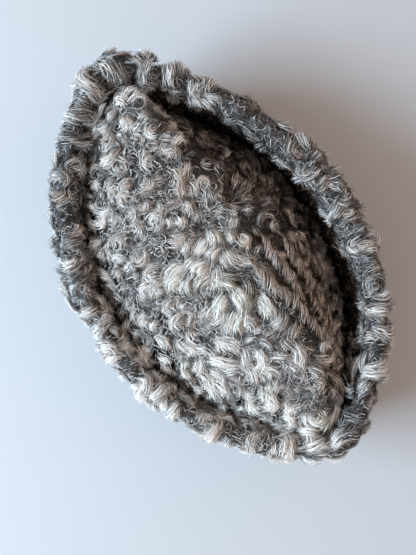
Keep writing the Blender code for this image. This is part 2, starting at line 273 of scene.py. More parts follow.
# Where long flat fibres wrap the roll by the seam: x, y and reach in mm, their flow and their tone
WRAPPED_ENDS = (
    (109, 41, 11, 92, 0.06),
    (130, 3, 12, 79, -0.14),
    (131, -20, 9, 60, -0.30),
)

FLANK_SWELLS = 5.6                      # mm, where the crown's side at -Y is steep
FLANK_SWELLS_MORE = 3.0                 # mm, added towards +X

DEPTH_SHADE_REACH = 0.56                    # how far out of the fleece the painted shade of the depths reaches, over the roots' own darker colour

# Hues of the wool: colour of a fibre at tone 0, 0.3, 0.6, 0.85 and 1. Where brown covers the +Y slope
# and the trough, it is partly the wool's own and partly painted warm shade
HUES = (
    ("ash", (0.016, 0.017, 0.019), (0.088, 0.091, 0.097), (0.36, 0.350, 0.338), (0.78, 0.73, 0.685),
     (0.98, 0.94, 0.89)),
    ("brown", (0.024, 0.018, 0.014), (0.105, 0.082, 0.067), (0.36, 0.295, 0.25), (0.66, 0.57, 0.50),
     (0.90, 0.82, 0.75)),
    ("cream", (0.036, 0.032, 0.026), (0.19, 0.175, 0.145), (0.56, 0.53, 0.46), (0.88, 0.85, 0.77),
     (0.99, 0.97, 0.90)),
)
HUE_TONES = (0.0, 0.30, 0.60, 0.85, 1.0)

# Lamps: name, direction in the picture's axes, distance and size in metres, power in watts, colour
LAMPS = (
    ("cool lamp", (-0.95, -0.17, 0.64), 1.6, 1.0, 48.0, (0.64, 0.83, 1.0)),
    ("warm lamp", (0.80, 0.20, 0.65), 1.6, 1.4, 3.2, (1.0, 0.60, 0.42)),
)
LAMPS_AIM = 0.05                        # the height that they shine at
ROOM_COLOUR = (1.0, 0.84, 0.75, 1.0)
ROOM_BRIGHTNESS = 0.49
TABLE_COLOUR = (0.56, 0.578, 0.598, 1.0)


def clamp(value, low=0.0, high=1.0):
    """The value, kept between two limits."""
    return min(high, max(low, value))


def placed(name, data):
    """An object with this data, in the scene."""
    made = bpy.data.objects.new(name, data)
    bpy.context.scene.collection.objects.link(made)
    return made


def finished_mesh(guide):
    """The plain mesh that an object's modifiers make of it, after which the object is deleted."""
    bpy.context.view_layer.update()
    evaluated = guide.evaluated_get(bpy.context.evaluated_depsgraph_get())
    mesh = bpy.data.meshes.new_from_object(evaluated)
    bpy.data.objects.remove(guide, do_unlink=True)
    return mesh


def outward_at(place):
    """Direction in the plane that leads out of the cap's outline at a place."""
    u = max(abs(place.x) / HALF_LENGTH, 1e-4)
    v = max(abs(place.y) / HALF_WIDTH, 1e-4)
    slope = v ** (1.0 / FULLNESS - 1.0) / FULLNESS / HALF_WIDTH
    return Vector((math.copysign(2.0 * u / HALF_LENGTH, place.x),
                   math.copysign(slope, place.y), 0.0)).normalized()


def smooth_noise(place, size, seed):
    """Smooth noise of about -1 to 1, with swells of the given size in metres."""
    return noise.noise(place / size + Vector((seed * 7.31, seed * 3.17, seed * 1.73)))


class Ground:
    """The skin's fleece side, for paths that run over it."""

    def __init__(self, mesh):
        verts = [vert.co.copy() for vert in mesh.vertices]
        faces = [tuple(face.vertices) for face in mesh.polygons]
        self.tree = BVHTree.FromPolygons(verts, faces)
        normals = np.empty(len(mesh.vertices) * 3, dtype=np.float32)
        mesh.vertices.foreach_get("normal", normals)
        self.normals = [Vector(row) for row in normals.reshape(-1, 3).tolist()]
        self.verts = verts
        self.faces = faces
        self.areas = np.array([face.area for face in mesh.polygons])

    def at(self, place):
        """The nearest place on the skin, and the skin's smooth normal there."""
        found, _, number, _ = self.tree.find_nearest(place)
        total = Vector((0.0, 0.0, 0.0))
        for vert in self.faces[number]:
            weight = 1.0 / ((self.verts[vert] - found).length + 1e-5)
            total += self.normals[vert] * weight
        return found, total.normalized()

    def below(self, x, y):
        """The highest place on the skin at an x and y given in mm."""
        found, _, _, _ = self.tree.ray_cast(Vector((x * MM, y * MM, 0.2)), Vector((0.0, 0.0, -1.0)))
        return found or self.at(Vector((x * MM, y * MM, 0.08)))[0]

    def sprinkle(self, count, draw):
        """Places drawn at random all over the skin, each with the normal there."""
        picks = draw.choice(len(self.areas), size=count, p=self.areas / self.areas.sum())
        for pick, share in zip(picks, draw.random((count, 4))):
            corners = self.faces[pick]
            share = share[:len(corners)]
            share = share / share.sum()
            place = sum((self.verts[v] * float(s) for v, s in zip(corners, share)), Vector())
            normal = sum((self.normals[v] * float(s) for v, s in zip(corners, share)), Vector())
            yield place, normal.normalized()

    def scatter(self, spacing, draw, keep):
        """Places spread evenly over the skin, none closer than the spacing."""
        cells = {}
        found = []
        for place, normal in self.sprinkle(int(self.areas.sum() / spacing ** 2 * 6.0), draw):
            if not keep(place, normal):
                continue
            cell = tuple(int(math.floor(part / spacing)) for part in place)
            close = any((other - place).length < spacing
                        for i in (-1, 0, 1) for j in (-1, 0, 1) for k in (-1, 0, 1)
                        for other in cells.get((cell[0] + i, cell[1] + j, cell[2] + k), ()))
            if not close:
                cells.setdefault(cell, []).append(place)
                found.append((place, normal))
        return found


class Path:
    """A path over the skin, which turns by an angle in degrees, with the ways along, across and up."""

    def __init__(self, ground, middle, heading, length, turn, sway=0.0, nodes=8):
        step = length / (nodes - 1)
        half = nodes // 2
        bend = math.radians(turn) / (nodes - 1)
        start, normal = ground.at(middle)
        way = (heading - normal * heading.dot(normal)).normalized()
        back = self.walk(ground, start, -way, normal, step, half, -bend, sway)
        ahead = self.walk(ground, start, way, normal, step, nodes - half - 1, bend, sway)
        rows = back[::-1] + ahead[1:]
        self.place = np.array([tuple(row[0]) for row in rows])
        self.up = np.array([tuple(row[1]) for row in rows])
        along = np.gradient(self.place, axis=0)
        along -= self.up * (along * self.up).sum(1, keepdims=True)
        self.along = along / np.maximum(np.linalg.norm(along, axis=1, keepdims=True), 1e-9)
        self.side = np.cross(self.up, self.along)
        self.length = length

    @staticmethod
    def walk(ground, start, way, normal, step, count, bend, sway):
        """Steps over the skin from the start, turning by the bend at each."""
        rows = [(start, normal)]
        here, up = start, normal
        for number in range(count):
            swing = bend * (1.0 + sway * math.cos(math.pi * (number + 1) / count))
            way = Quaternion(up, swing) @ way
            there, up = ground.at(here + way * step)
            moved = there - here
            if moved.length > 1e-6:
                way = moved.normalized()
            way = (way - up * way.dot(up)).normalized()
            here = there
            rows.append((here, up))
        return rows

    def at(self, share):
        """Place, along, side and up at shares of the length, for an array of any shape."""
        held = np.clip(share, 0.0, 1.0) * (len(self.place) - 1)
        low = np.minimum(held.astype(int), len(self.place) - 2)
        part = (held - low)[..., None]
        mixed = [rows[low] * (1 - part) + rows[low + 1] * part
                 for rows in (self.place, self.along, self.side, self.up)]
        mixed[0] = mixed[0] + mixed[1] * ((share - np.clip(share, 0, 1)) * self.length)[..., None]
        return mixed


class Mounds:
    """The rounded mounds that the curls form, with creases where they meet, which the locks darken with
    painted shade.
    """

    def __init__(self, name, ground, spacing, keep):
        draw = np.random.default_rng(SEEDS[name])
        rows = [row for row in ground.scatter(spacing, draw, keep) if draw.random() < MOUNDS_KEPT]
        self.spacing = spacing
        self.middles = np.array([tuple(place) for place, _ in rows])
        self.tones = draw.normal(0.0, 0.05, len(rows))
        self.depths = draw.uniform(0.55, 1.0, len(rows))
        self.swings = draw.uniform(-55.0, 55.0, len(rows))
        self.turns = draw.uniform(0.6, 1.4, len(rows)) * draw.choice((1.0, 1.0, 1.0, -1.0), len(rows))

    def nearest(self, place):
        """Number of the mound a place is on."""
        return int(((self.middles - np.array(tuple(place))) ** 2).sum(1).argmin())

    def at(self, places):
        """How deep in a crease each place is, how high on its mound, and the mound's own tone."""
        lock_middle = places.reshape(-1, 3).mean(0)
        near = np.argsort(((self.middles - lock_middle) ** 2).sum(1))[:16]
        away = np.linalg.norm(places[..., None, :] - self.middles[near], axis=-1)
        two = np.partition(away, 1, axis=-1)
        crease = np.exp(-((two[..., 1] - two[..., 0]) / CREASE_WIDTH) ** 2)
        crease = crease * self.depths[near][away.argmin(-1)]
        height = 1.0 - 0.50 * np.clip(two[..., 0] / self.spacing / 0.9, 0.0, 1.0) ** 2
        return crease, height, self.tones[near][away.argmin(-1)]


class Fleece:
    """The centre lines of a piece's fibres, with each fibre's tone, hue and way of facing."""

    def __init__(self, name, mounds=None, crease_depth=0.0, mound_height=0.0):
        self.name = name
        self.mounds = mounds
        self.crease_depth = crease_depth
        self.mound_height = mound_height
        self.draw = np.random.default_rng(SEEDS[name])
        self.batches = []

    def keep(self, lines, facings, tone, hue, share, wide=1.0):
        """Add a batch of fibres; share says how far out of the fleece each point is, which sets its
        painted shade.
        """
        band = [row[0] for row in HUES].index(hue)
        count, points = lines.shape[:2]
        tone = np.repeat(((band + np.clip(tone, 0.02, 0.98)) / len(HUES))[:, None], points, 1)
        facings = facings / np.linalg.norm(facings, axis=-1, keepdims=True)
        taper = np.tile(np.linspace(0, 1, points), (count, 1))
        self.batches.append((lines, facings, tone, share, taper, np.full((count, points), wide)))

    def fibre_tones(self, count, tone):
        """Tones of a lock's fibres: dark and pale ones mixed about the lock's own tone."""
        draw = self.draw
        tones = tone + MEAN_TONE + draw.normal(0.0, TONE_SPREAD, count)
        pick = draw.random(count)
        tones = np.where(pick < clamp(0.32 - 0.45 * tone, 0.14, 0.42), tones - DARK_FIBRES_BY, tones)
        tones = np.where(pick > 1.0 - PALE_FIBRES_SHARE, tones + PALE_FIBRES_BY, tones)
        return tones + draw.normal(0.0, 0.06, count)

    def lock(self, path, kind, tone, hue, wide=None, lift=0.0, tall=1.0, flare=0.0):
        """A lock of fine fibres side by side, which rise out of the skin and follow the path."""
        draw = self.draw
        points, count, half_width, height, reach, crimp, frizz, strays = LOCK_KINDS[kind]
        half_width = (wide or half_width) * MM * draw.uniform(0.85, 1.15)
        height = height * MM * tall * draw.uniform(0.85, 1.2)
        each = (count, 1)

        across = draw.uniform(-1.0, 1.0, each)
        start = draw.uniform(-0.05, 1.02 - reach, each) + draw.normal(0, 0.03, each)
        length = reach * draw.uniform(0.75, 1.2, each) * draw.uniform(0.9, 1.1, each)
        layer = draw.uniform(0.50, 1.05, each)
        phase = draw.uniform(0, math.tau) + 0.8 * across + draw.normal(0.0, 0.5, each)
        waves = draw.uniform(0.9, 1.6) * draw.uniform(0.9, 1.1, each)

        steps = np.linspace(0.0, 1.0, points)[None, :]
        share = start + length * steps
        place, along, side, up = path.at(share)
        inside = np.clip(share, 0.0, 1.0)

        # The lock is domed across and arched along, and each fibre rises out of it
        spread = half_width * (0.74 + 0.30 * inside)
        dome = 1.0 - 0.60 * across ** 2
        arch = 0.50 + 0.50 * np.sin(math.pi * (0.08 + 0.80 * inside)) ** 0.7
        rise = 0.10 + 0.90 * steps ** 0.75
        relief = arch * dome * layer * rise

        # Down in a crease the fibres are lower, and painted shade darkens them: a darker tone and a
        # smaller share out of the fleece
        mound_tone_and_crease_shade, crease_shade_factor, mound_lift = 0.0, 1.0, 0.0
        if self.mounds:
            crease, high, mound_tone = self.mounds.at(place)
            relief = relief * high * (1.0 - self.crease_depth * crease)
            mound_tone_and_crease_shade = mound_tone[:, points // 2] - 0.24 * crease[:, points // 2]
            mound_lift = self.mound_height * (high - 0.75 - 0.5 * crease)
            crease_shade_factor = 1.0 - 0.9 * crease

        # Each fibre strays a little from its neighbours, and most of all at its tip
        turned = draw.uniform(0, math.tau, each)
        out = np.sqrt(draw.random(each)) * 0.34 * MM * (0.6 + 0.8 * steps)
        own = draw.uniform(0, math.tau, (count, 2))
        own_waves = draw.uniform(0.8, 1.8, each)
        stray = np.where(draw.random(each) < strays, draw.uniform(0.6, 2.0, each), 0.0) * MM
        splay = draw.normal(0.0, SPLAY * (FLAME_SPLAY if kind == "flame" else 1.0), each) * MM
        off = (across * spread + np.sin(turned) * out
               + np.sin(math.tau * waves * inside + phase) * crimp * MM
               + np.sin(math.tau * own_waves * steps + own[:, :1]) * frizz * MM
               + splay * steps ** 1.5 + stray * steps ** 2 * draw.normal(0.0, 1.0, each))
        tall_here = (height * relief + np.cos(turned) * out * 0.7
                     + np.cos(math.tau * waves * inside + phase) * crimp * 0.4 * MM
                     + np.sin(math.tau * own_waves * steps + own[:, 1:]) * frizz * MM * 0.6
                     + stray * steps ** 1.5 + lift + mound_lift + flare * inside ** 2)
        lines = place + side * off[..., None] + up * tall_here[..., None]
        lean = 1.3 * across + 0.4 * np.sin(turned)
        facing = up * dome[..., None] + side * (lean * np.ones_like(share))[..., None]
        facing = facing + draw.normal(0.0, 0.40, each)[..., None] * side
        # How far out of the fleece each point lies, which sets its painted shade: least at the root, on
        # the lock's sides and in creases
        depth = np.clip((0.02 + 1.35 * relief) * crease_shade_factor + 0.08 * np.cos(turned), 0.0, 1.0)
        self.keep(lines, facing, self.fibre_tones(count, tone) + mound_tone_and_crease_shade, hue, depth)

    def undercoat(self, ground, keep, count, tone, hue):
        """Short loose fibres all over the skin, between the roots of the locks."""
        draw = self.draw
        places, normals = [], []
        while len(places) < count:
            for place, normal in ground.sprinkle(count, draw):
                if keep(place, normal) and len(places) < count:
                    places.append(tuple(place))
                    normals.append(tuple(normal))
        place, up = np.array(places), np.array(normals)
        way = draw.normal(0.0, 1.0, (count, 3))
        way -= up * (way * up).sum(1, keepdims=True)
        way /= np.linalg.norm(way, axis=1, keepdims=True)
        side = np.cross(up, way)
        steps = np.linspace(0.0, 1.0, UNDERCOAT_POINTS)[None, :]
        swing = draw.uniform(-1.3, 1.3, count)[:, None] * steps
        length = (UNDERCOAT_LENGTH * MM * draw.uniform(0.6, 1.3, count))[:, None]
        tall = MM * (draw.uniform(0.6, 2.2, count)[:, None] * np.sin(math.pi * (0.05 + 0.70 * steps)))
        lines = (place[:, None, :] + way[:, None, :] * (length * steps * np.cos(swing))[..., None]
                 + side[:, None, :] * (length * steps * np.sin(swing))[..., None]
                 + up[:, None, :] * tall[..., None])
        facing = np.repeat(up[:, None, :], UNDERCOAT_POINTS, 1) + draw.normal(0.0, 0.25, (count, 1, 3))
        # Painted shade: the undercoat lies low in the fleece, so it is darkened most
        depth = np.clip(0.12 + 0.4 * steps, 0, 1) * np.ones((count, 1))
        self.keep(lines, facing, self.fibre_tones(count, tone), hue, depth, UNDERCOAT_WIDTH)

    def rope(self, path, tone, hue, slant, radius, lift=0.0):
        """A rounded rib whose fibres wrap over it from side to side."""
        draw = self.draw
        count = int(RIB_FIBRES * path.length / 0.010 * radius / 4.0)
        each = (count, 1)
        radius = radius * MM
        steps = np.linspace(0.0, 1.0, RIB_POINTS)[None, :]
        angle = np.radians(draw.uniform(-55, 35, each) + draw.uniform(80, 150, each) * steps)
        share = draw.uniform(-0.02, 1.02, each) + draw.normal(0.0, 0.16, each) * MM / path.length
        inside = np.clip(share, 0.0, 1.0)
        twist = slant * (1.0 + 0.3 * np.sin(math.tau * inside * path.length / 0.016))
        share = share + twist * (angle - math.pi / 2) / math.pi * radius * 2.6 / path.length
        place, along, side, up = path.at(share)
        inside = np.clip(share, 0.0, 1.0)
        knobs = 1.0 + 0.16 * np.sin(math.tau * inside * path.length / 0.0085 + draw.uniform(0, 6))
        size = radius * np.sin(math.pi * (0.10 + 0.80 * inside)) ** 0.5 * knobs
        size = size * draw.uniform(0.80, 1.04, each)
        size = size + np.sin(math.tau * 1.2 * steps + draw.uniform(0, 6, each)) * RIB_FRIZZ * MM * 0.6
        stray = np.where(draw.random(each) < RIB_STRAYS, draw.uniform(0.6, 1.8, each), 0.0) * MM
        size = size + stray * steps ** 2
        turned = side * np.cos(angle)[..., None] + up * np.sin(angle)[..., None]
        sway = np.sin(math.tau * inside * path.length / 0.024 + 1.0) * 0.9 * MM
        lines = place + turned * size[..., None] + up * (0.6 * MM + lift) + side * sway[..., None]
        facing = turned + draw.normal(0.0, 0.18, (count, 1, 3))
        # Painted shade on the rib's sides and underside, where fibres lie low round it
        depth = np.clip(0.30 + 0.75 * np.maximum(np.sin(angle), 0.0) ** 0.7 * size / radius, 0.0, 1.0)
        self.keep(lines, facing, self.fibre_tones(count, tone), hue, depth)

    def grow(self, tree, finish, width, seed):
        """Make the piece: its centre lines go through the tree that gives each fibre its body."""
        columns = [np.concatenate([np.reshape(batch[part], (-1, 3 if part < 2 else 1))
                                   for batch in self.batches]) for part in range(6)]
        columns[0][:, 2] = np.maximum(columns[0][:, 2], FIBRES_FROM)
        edges, first = [], 0
        for batch in self.batches:
            count, points = batch[0].shape[:2]
            starts = first + np.arange(count)[:, None] * points + np.arange(points - 1)[None, :]
            edges.append(np.stack([starts, starts + 1], -1).reshape(-1, 2))
            first += count * points
        edges = np.concatenate(edges)
        mesh = bpy.data.meshes.new(self.name + "_lines")
        mesh.vertices.add(first)
        mesh.vertices.foreach_set("co", columns[0].astype(np.float32).ravel())
        mesh.edges.add(len(edges))
        mesh.edges.foreach_set("vertices", edges.astype(np.int32).ravel())
        labels = ("facing", "tone", "share", "taper", "wide")
        for label, rows in zip(labels, columns[1:]):
            vector = label == "facing"
            layer = mesh.attributes.new(label, "FLOAT_VECTOR" if vector else "FLOAT", "POINT")
            layer.data.foreach_set("vector" if vector else "value", rows.astype(np.float32).ravel())
        guide = placed(self.name + "_lines", mesh)
        modifier = guide.modifiers.new("fibres", "NODES")
        modifier.node_group = tree
        values = {"Fibre width": width, "Tip width": TIP_WIDTH, "Width spread": 0.30, "Seed": seed,
                  "Finish": finish}
        for item in tree.interface.items_tree:
            if item.in_out == "INPUT" and item.name in values:
                modifier[item.identifier] = values[item.name]
        made = finished_mesh(guide)
        for label in labels:
            if label in made.attributes:
                made.attributes.remove(made.attributes[label])
        made.name = self.name
        return placed(self.name, made)


def enabled(sockets, name=None):
    """The socket in use among those of one name, on a node with a choice of types."""
    return [s for s in sockets if s.enabled and (name is None or s.name == name)][0]


def feed(node, inputs):
    """Give a node's inputs their values, or the outputs of other nodes; returns the node."""
    for label, value in inputs.items():
        socket = node.inputs[label] if isinstance(label, int) else enabled(node.inputs, label)
        if isinstance(value, bpy.types.NodeSocket):
            node.id_data.links.new(value, socket)
        else:
            socket.default_value = value
    return node


def fibre_tree():
    """Geometry nodes that give fibre centre lines a flat tapered body, a map and a finish."""
    tree = bpy.data.node_groups.new("fibres", "GeometryNodeTree")
    for label, kind in (("Geometry", "Geometry"), ("Fibre width", "Float"), ("Tip width", "Float"),
                        ("Width spread", "Float"), ("Seed", "Int"), ("Finish", "Material")):
        tree.interface.new_socket(label, in_out="INPUT", socket_type="NodeSocket" + kind)
    tree.interface.new_socket("Geometry", in_out="OUTPUT", socket_type="NodeSocketGeometry")
    nodes = tree.nodes
    given = nodes.new("NodeGroupInput").outputs

    def stored(label, data_type="FLOAT"):
        """A value that each point of the centre lines carries."""
        node = nodes.new("GeometryNodeInputNamedAttribute")
        node.data_type = data_type
        return enabled(feed(node, {"Name": label}).outputs, "Attribute")

    def maths(operation, first, second):
        """The result of a sum, with a number or a socket on either side."""
        node = nodes.new("ShaderNodeMath")
        node.operation = operation
        return feed(node, {0: first, 1: second}).outputs[0]

    # Width: tapered to the tip, and a little different from fibre to fibre
    random = nodes.new("FunctionNodeRandomValue")
    random.data_type = "FLOAT"
    feed(random, {"Min": -1.0, "Max": 1.0, "Seed": given["Seed"]})
    own = nodes.new("GeometryNodeFieldOnDomain")
    own.data_type = "FLOAT"
    own.domain = "CURVE"
    feed(own, {0: enabled(random.outputs)})
    varied = maths("ADD", maths("MULTIPLY", own.outputs[0], given["Width spread"]), 1.0)
    taper = maths("POWER", stored("taper"), 2.5)
    lost = maths("MULTIPLY", taper, maths("SUBTRACT", 1.0, given["Tip width"]))
    half = maths("MULTIPLY", maths("MULTIPLY", given["Fibre width"], 0.5), stored("wide"))
    radius = maths("MULTIPLY", half, maths("MULTIPLY", varied, maths("SUBTRACT", 1.0, lost)))

    # Body: a flat ribbon along each centre line, turned the way that its fibre faces
    curves = feed(nodes.new("GeometryNodeMeshToCurve"), {"Mesh": given["Geometry"]})
    faced = nodes.new("GeometryNodeSetCurveNormal")
    faced.mode = "FREE"
    feed(faced, {"Curve": curves.outputs[0], "Normal": stored("facing", "FLOAT_VECTOR")})
    sized = feed(nodes.new("GeometryNodeSetCurveRadius"), {"Curve": faced.outputs[0], "Radius": radius})
    flat = feed(nodes.new("GeometryNodeCurvePrimitiveLine"),
                {"Start": (0.0, -1.0, 0.0), "End": (0.0, 1.0, 0.0)})
    body = feed(nodes.new("GeometryNodeCurveToMesh"),
                {"Curve": sized.outputs[0], "Profile Curve": flat.outputs[0]})
    if "Scale" in body.inputs:
        feed(body, {"Scale": nodes.new("GeometryNodeInputRadius").outputs[0]})

    # The map: tone and hue across, and how far out of the fleece along
    joined = feed(nodes.new("ShaderNodeCombineXYZ"), {"X": stored("tone"), "Y": stored("share")})
    keep = nodes.new("GeometryNodeStoreNamedAttribute")
    keep.data_type = "FLOAT2"
    keep.domain = "CORNER"
    feed(keep, {"Geometry": body.outputs[0], "Name": "OFBake", "Value": joined.outputs[0]})
    smooth = feed(nodes.new("GeometryNodeSetShadeSmooth"), {"Geometry": keep.outputs[0]})
    real = feed(nodes.new("GeometryNodeRealizeInstances"), {0: smooth.outputs[0]})
    finish = feed(nodes.new("GeometryNodeSetMaterial"),
                  {"Geometry": real.outputs[0], "Material": given["Finish"]})
    feed(nodes.new("NodeGroupOutput"), {"Geometry": finish.outputs[0]})
    return tree


# Finishes

def principled(name):
    """A new material, with its nodes and its shader."""
    material = bpy.data.materials.new(name)
    material.use_nodes = True
    nodes = material.node_tree.nodes
    return material, nodes, nodes["Principled BSDF"]


def colour_ramp(nodes, value, stops):
    """The colour that goes with a value, between stops that each have a place and a colour."""
    ramp = feed(nodes.new("ShaderNodeValToRGB"), {"Fac": value})
    elements = ramp.color_ramp.elements
    while len(elements) > 1:
        elements.remove(elements[0])
    for number, (place, colour) in enumerate(stops):
        stop = elements[0] if number == 0 else elements.new(place)
        stop.position = place
        stop.color = (*colour, 1.0)
    return ramp.outputs["Color"]


def wool_finish(name, root_shade, brightness):
    """Wool: colour by the fibre's tone and hue, from the piece's map, with painted shade down in the
    fleece over the roots' own darker colour.
    """
    material, nodes, shader = principled(name)
    where = nodes.new("ShaderNodeUVMap")
    where.uv_map = "OFBake"
    parts = feed(nodes.new("ShaderNodeSeparateXYZ"), {0: where.outputs[0]})
    stops = []
    for band, row in enumerate(HUES):
        for place, colour in zip(HUE_TONES, row[1:]):
            at = (band + clamp(place, 0.004, 0.996)) / len(HUES)
            stops.append((at, [part * brightness for part in colour]))
    # Painted shade: the colour is multiplied darker the deeper a point lies in the fleece
    depth_shade_colour = (root_shade, root_shade * 0.95, root_shade * 0.92)
    shades = ((0.0, depth_shade_colour), (DEPTH_SHADE_REACH, (1.0, 1.0, 1.0)))
    mixed = nodes.new("ShaderNodeMix")
    mixed.data_type = "RGBA"
    mixed.blend_type = "MULTIPLY"
    feed(mixed, {"Factor": 1.0, "A": colour_ramp(nodes, parts.outputs["X"], stops),
                 "B": colour_ramp(nodes, parts.outputs["Y"], shades)})
    feed(shader, {"Base Color": enabled(mixed.outputs, "Result"), "Roughness": 0.5,
                  "Specular IOR Level": 0.4, "Sheen Weight": 0.1, "Sheen Roughness": 0.5})
    return material


def grained_finish(name, dark, pale, cloud_scale, grain_scale, depth, roughness):
    """A matt mottled skin with a fine nap, whose streaks differ in colour as well as in height."""
    material, nodes, shader = principled(name)
    where = nodes.new("ShaderNodeTexCoord").outputs["Object"]

    def clouds(scale, distortion):
        """Noise over the piece's own places."""
        return feed(nodes.new("ShaderNodeTexNoise"), {"Vector": where, "Scale": scale, "Detail": 3.0,
                                                      "Distortion": distortion}).outputs["Fac"]

    grain = clouds(grain_scale, 1.5)
    both = nodes.new("ShaderNodeMath")
    both.operation = "MULTIPLY_ADD"
    feed(both, {0: clouds(cloud_scale, 0.0), 1: 0.35, 2: grain})
    colour = colour_ramp(nodes, both.outputs[0], ((0.50, dark), (0.86, pale)))
    bump = feed(nodes.new("ShaderNodeBump"), {"Strength": 0.8, "Distance": depth, "Height": grain})
    feed(shader, {"Base Color": colour, "Normal": bump.outputs["Normal"], "Roughness": roughness})
    return material


# Skins under the fleece

def carries_fleece(node, solid, place, normal):
    """Whether a face of a node's solid has fleece on it, and isn't the hem or the hollow."""
    if place.z < HEM_UP_TO and normal.z < -0.9:
        return False
    if node == "cuff":
        return True
    reach, y, z = HOLLOW_MIDDLE
    middle = Vector((clamp(place.x, -reach, reach), y, z))
    toward = place - middle
    _, _, _, first = solid.ray_cast(middle, toward.normalized())
    return first is not None and first < toward.length - 0.003


def named_mesh(mesh, name):
    """The mesh being worked on, kept under a name."""
    data = bpy.data.meshes.new(name)
    mesh.to_mesh(data)
    mesh.free()
    return data


def make_skin(node, name, roots_and_shade, flesh):
    """A copy of a node's solid whose fleece side is sunk to the skin under the locks."""
    mesh = bmesh.new()
    mesh.from_mesh(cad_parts[node].data)
    bmesh.ops.remove_doubles(mesh, verts=mesh.verts, dist=0.00001)
    mesh.normal_update()
    solid = BVHTree.FromBMesh(mesh)
    woolly = {face for face in mesh.faces
              if carries_fleece(node, solid, face.calc_center_median(), face.normal)}
    moved = {vert for face in woolly for vert in face.verts if vert.co.z > HEM_UP_TO}
    for _ in range(2):
        bmesh.ops.smooth_vert(mesh, verts=list(moved), factor=0.5,
                              use_axis_x=True, use_axis_y=True, use_axis_z=True)
    mesh.normal_update()
    shift = {vert: vert.normal * -SKIN_DEPTH * min(1.0, vert.co.z / SKIN_DEEP_FROM) for vert in moved}
    for vert, by in shift.items():
        vert.co += by
    for face in mesh.faces:
        face.material_index = 0 if face in woolly else 1
        face.smooth = True
    data = named_mesh(mesh, name)
    data.materials.append(roots_and_shade)
    data.materials.append(flesh)
    return placed(name, data)


def swelling(place, normal):
    """How far the crown's fleece stands out over the skin at a place, besides its own height."""
    total = 0.0
    for x, y, reach, height in SWELLINGS:
        away = math.hypot(place.x / MM - x, place.y / MM - y) / reach
        total = max(total, height * math.exp(-away ** 2))
    if place.y < 0.0:
        steep = (1.0 - max(0.0, normal.z)) * min(1.0, -place.y / MM / 20.0)
        total += (FLANK_SWELLS + FLANK_SWELLS_MORE * clamp(place.x / MM / 50.0 + 0.7)) * steep
    return total * MM * clamp(place.z / 0.03 - 1.0)


def fleece_side(skin):
    """The skin's fleece side alone, rounded off, for the locks to be planted on."""
    mesh = bmesh.new()
    mesh.from_mesh(skin.data)
    flesh = [face for face in mesh.faces if face.material_index == 1]
    bmesh.ops.delete(mesh, geom=flesh, context="FACES")
    helper = placed(skin.name + "_side", named_mesh(mesh, skin.name + "_side"))
    rounding = helper.modifiers.new("rounding", "SUBSURF")
    rounding.levels = rounding.render_levels = 1
    rounded = finished_mesh(helper)
    if skin.name.startswith("crown"):
        shifts = [vert.normal * swelling(vert.co, vert.normal) for vert in rounded.vertices]
        for vert, shift in zip(rounded.vertices, shifts):
            vert.co += shift
        rounded.update()
    return Ground(rounded)


# Planting

def heading(degrees):
    """The way over the table at an angle from +X towards +Y."""
    return Vector((math.cos(math.radians(degrees)), math.sin(math.radians(degrees)), 0.0))


def crown_zone(place, draw):
    """The zone a place belongs to, drawn from the nearest ones so that they mix at their edges."""
    near = []
    for row in CROWN_ZONES:
        away = math.hypot(place.x / MM - row[0], place.y / MM - row[1]) / row[2]
        near.append(1.0 / (0.05 + away) ** 5)
    weights = np.array(near)
    return CROWN_ZONES[draw.choice(len(near), p=weights / weights.sum())]


def crown_part(place):
    """The piece of the crown's fleece that a place belongs to."""
    return "left" if place.y < CROWN_PARTS[0] else "ridge" if place.y < CROWN_PARTS[1] else "right"


def crown_tone(place, zone_tone, draw):
    """The tone of a lock on the crown: its zone's, with larger paler and darker areas over it, some of
    them painted light and shade.
    """
    tone = 0.15 + 0.8 * zone_tone + 0.09 * smooth_noise(place, 0.009, 5) + draw.normal(0.0, 0.05)
    # The -Y slope, which faces the cool lamp, is the palest, partly paler wool and partly painted
    # light; the ridge darkens towards +X; the +Y slope, turned from the lamp, is darker with painted
    # shade, most towards -X
    if place.y < -0.010:
        tone += 0.20 + 0.10 * clamp(place.x / 0.04)
    elif place.y < 0.020:
        tone += 0.06 - 0.18 * clamp(place.x / 0.02, -0.8)
    if place.y > 0.020:
        tone -= 0.30 if place.x < 0.02 else 0.12
    # Painted shade in the dark gaps between the locks of the half towards +X: locks in patches are
    # darker, deepest on the ridge before the pale tip
    if place.x > -0.01:
        before_tip = clamp((0.045 - place.x) / 0.02)
        near_ridge = clamp((place.y + 0.022) / 0.012)
        gap_shade = 0.10 + before_tip * near_ridge
        tone += 0.06 - gap_shade * max(0.0, smooth_noise(place, 0.006, 9))
    if place.x > 0.02 and place.y < 0.008:
        tone += 0.12
    return tone


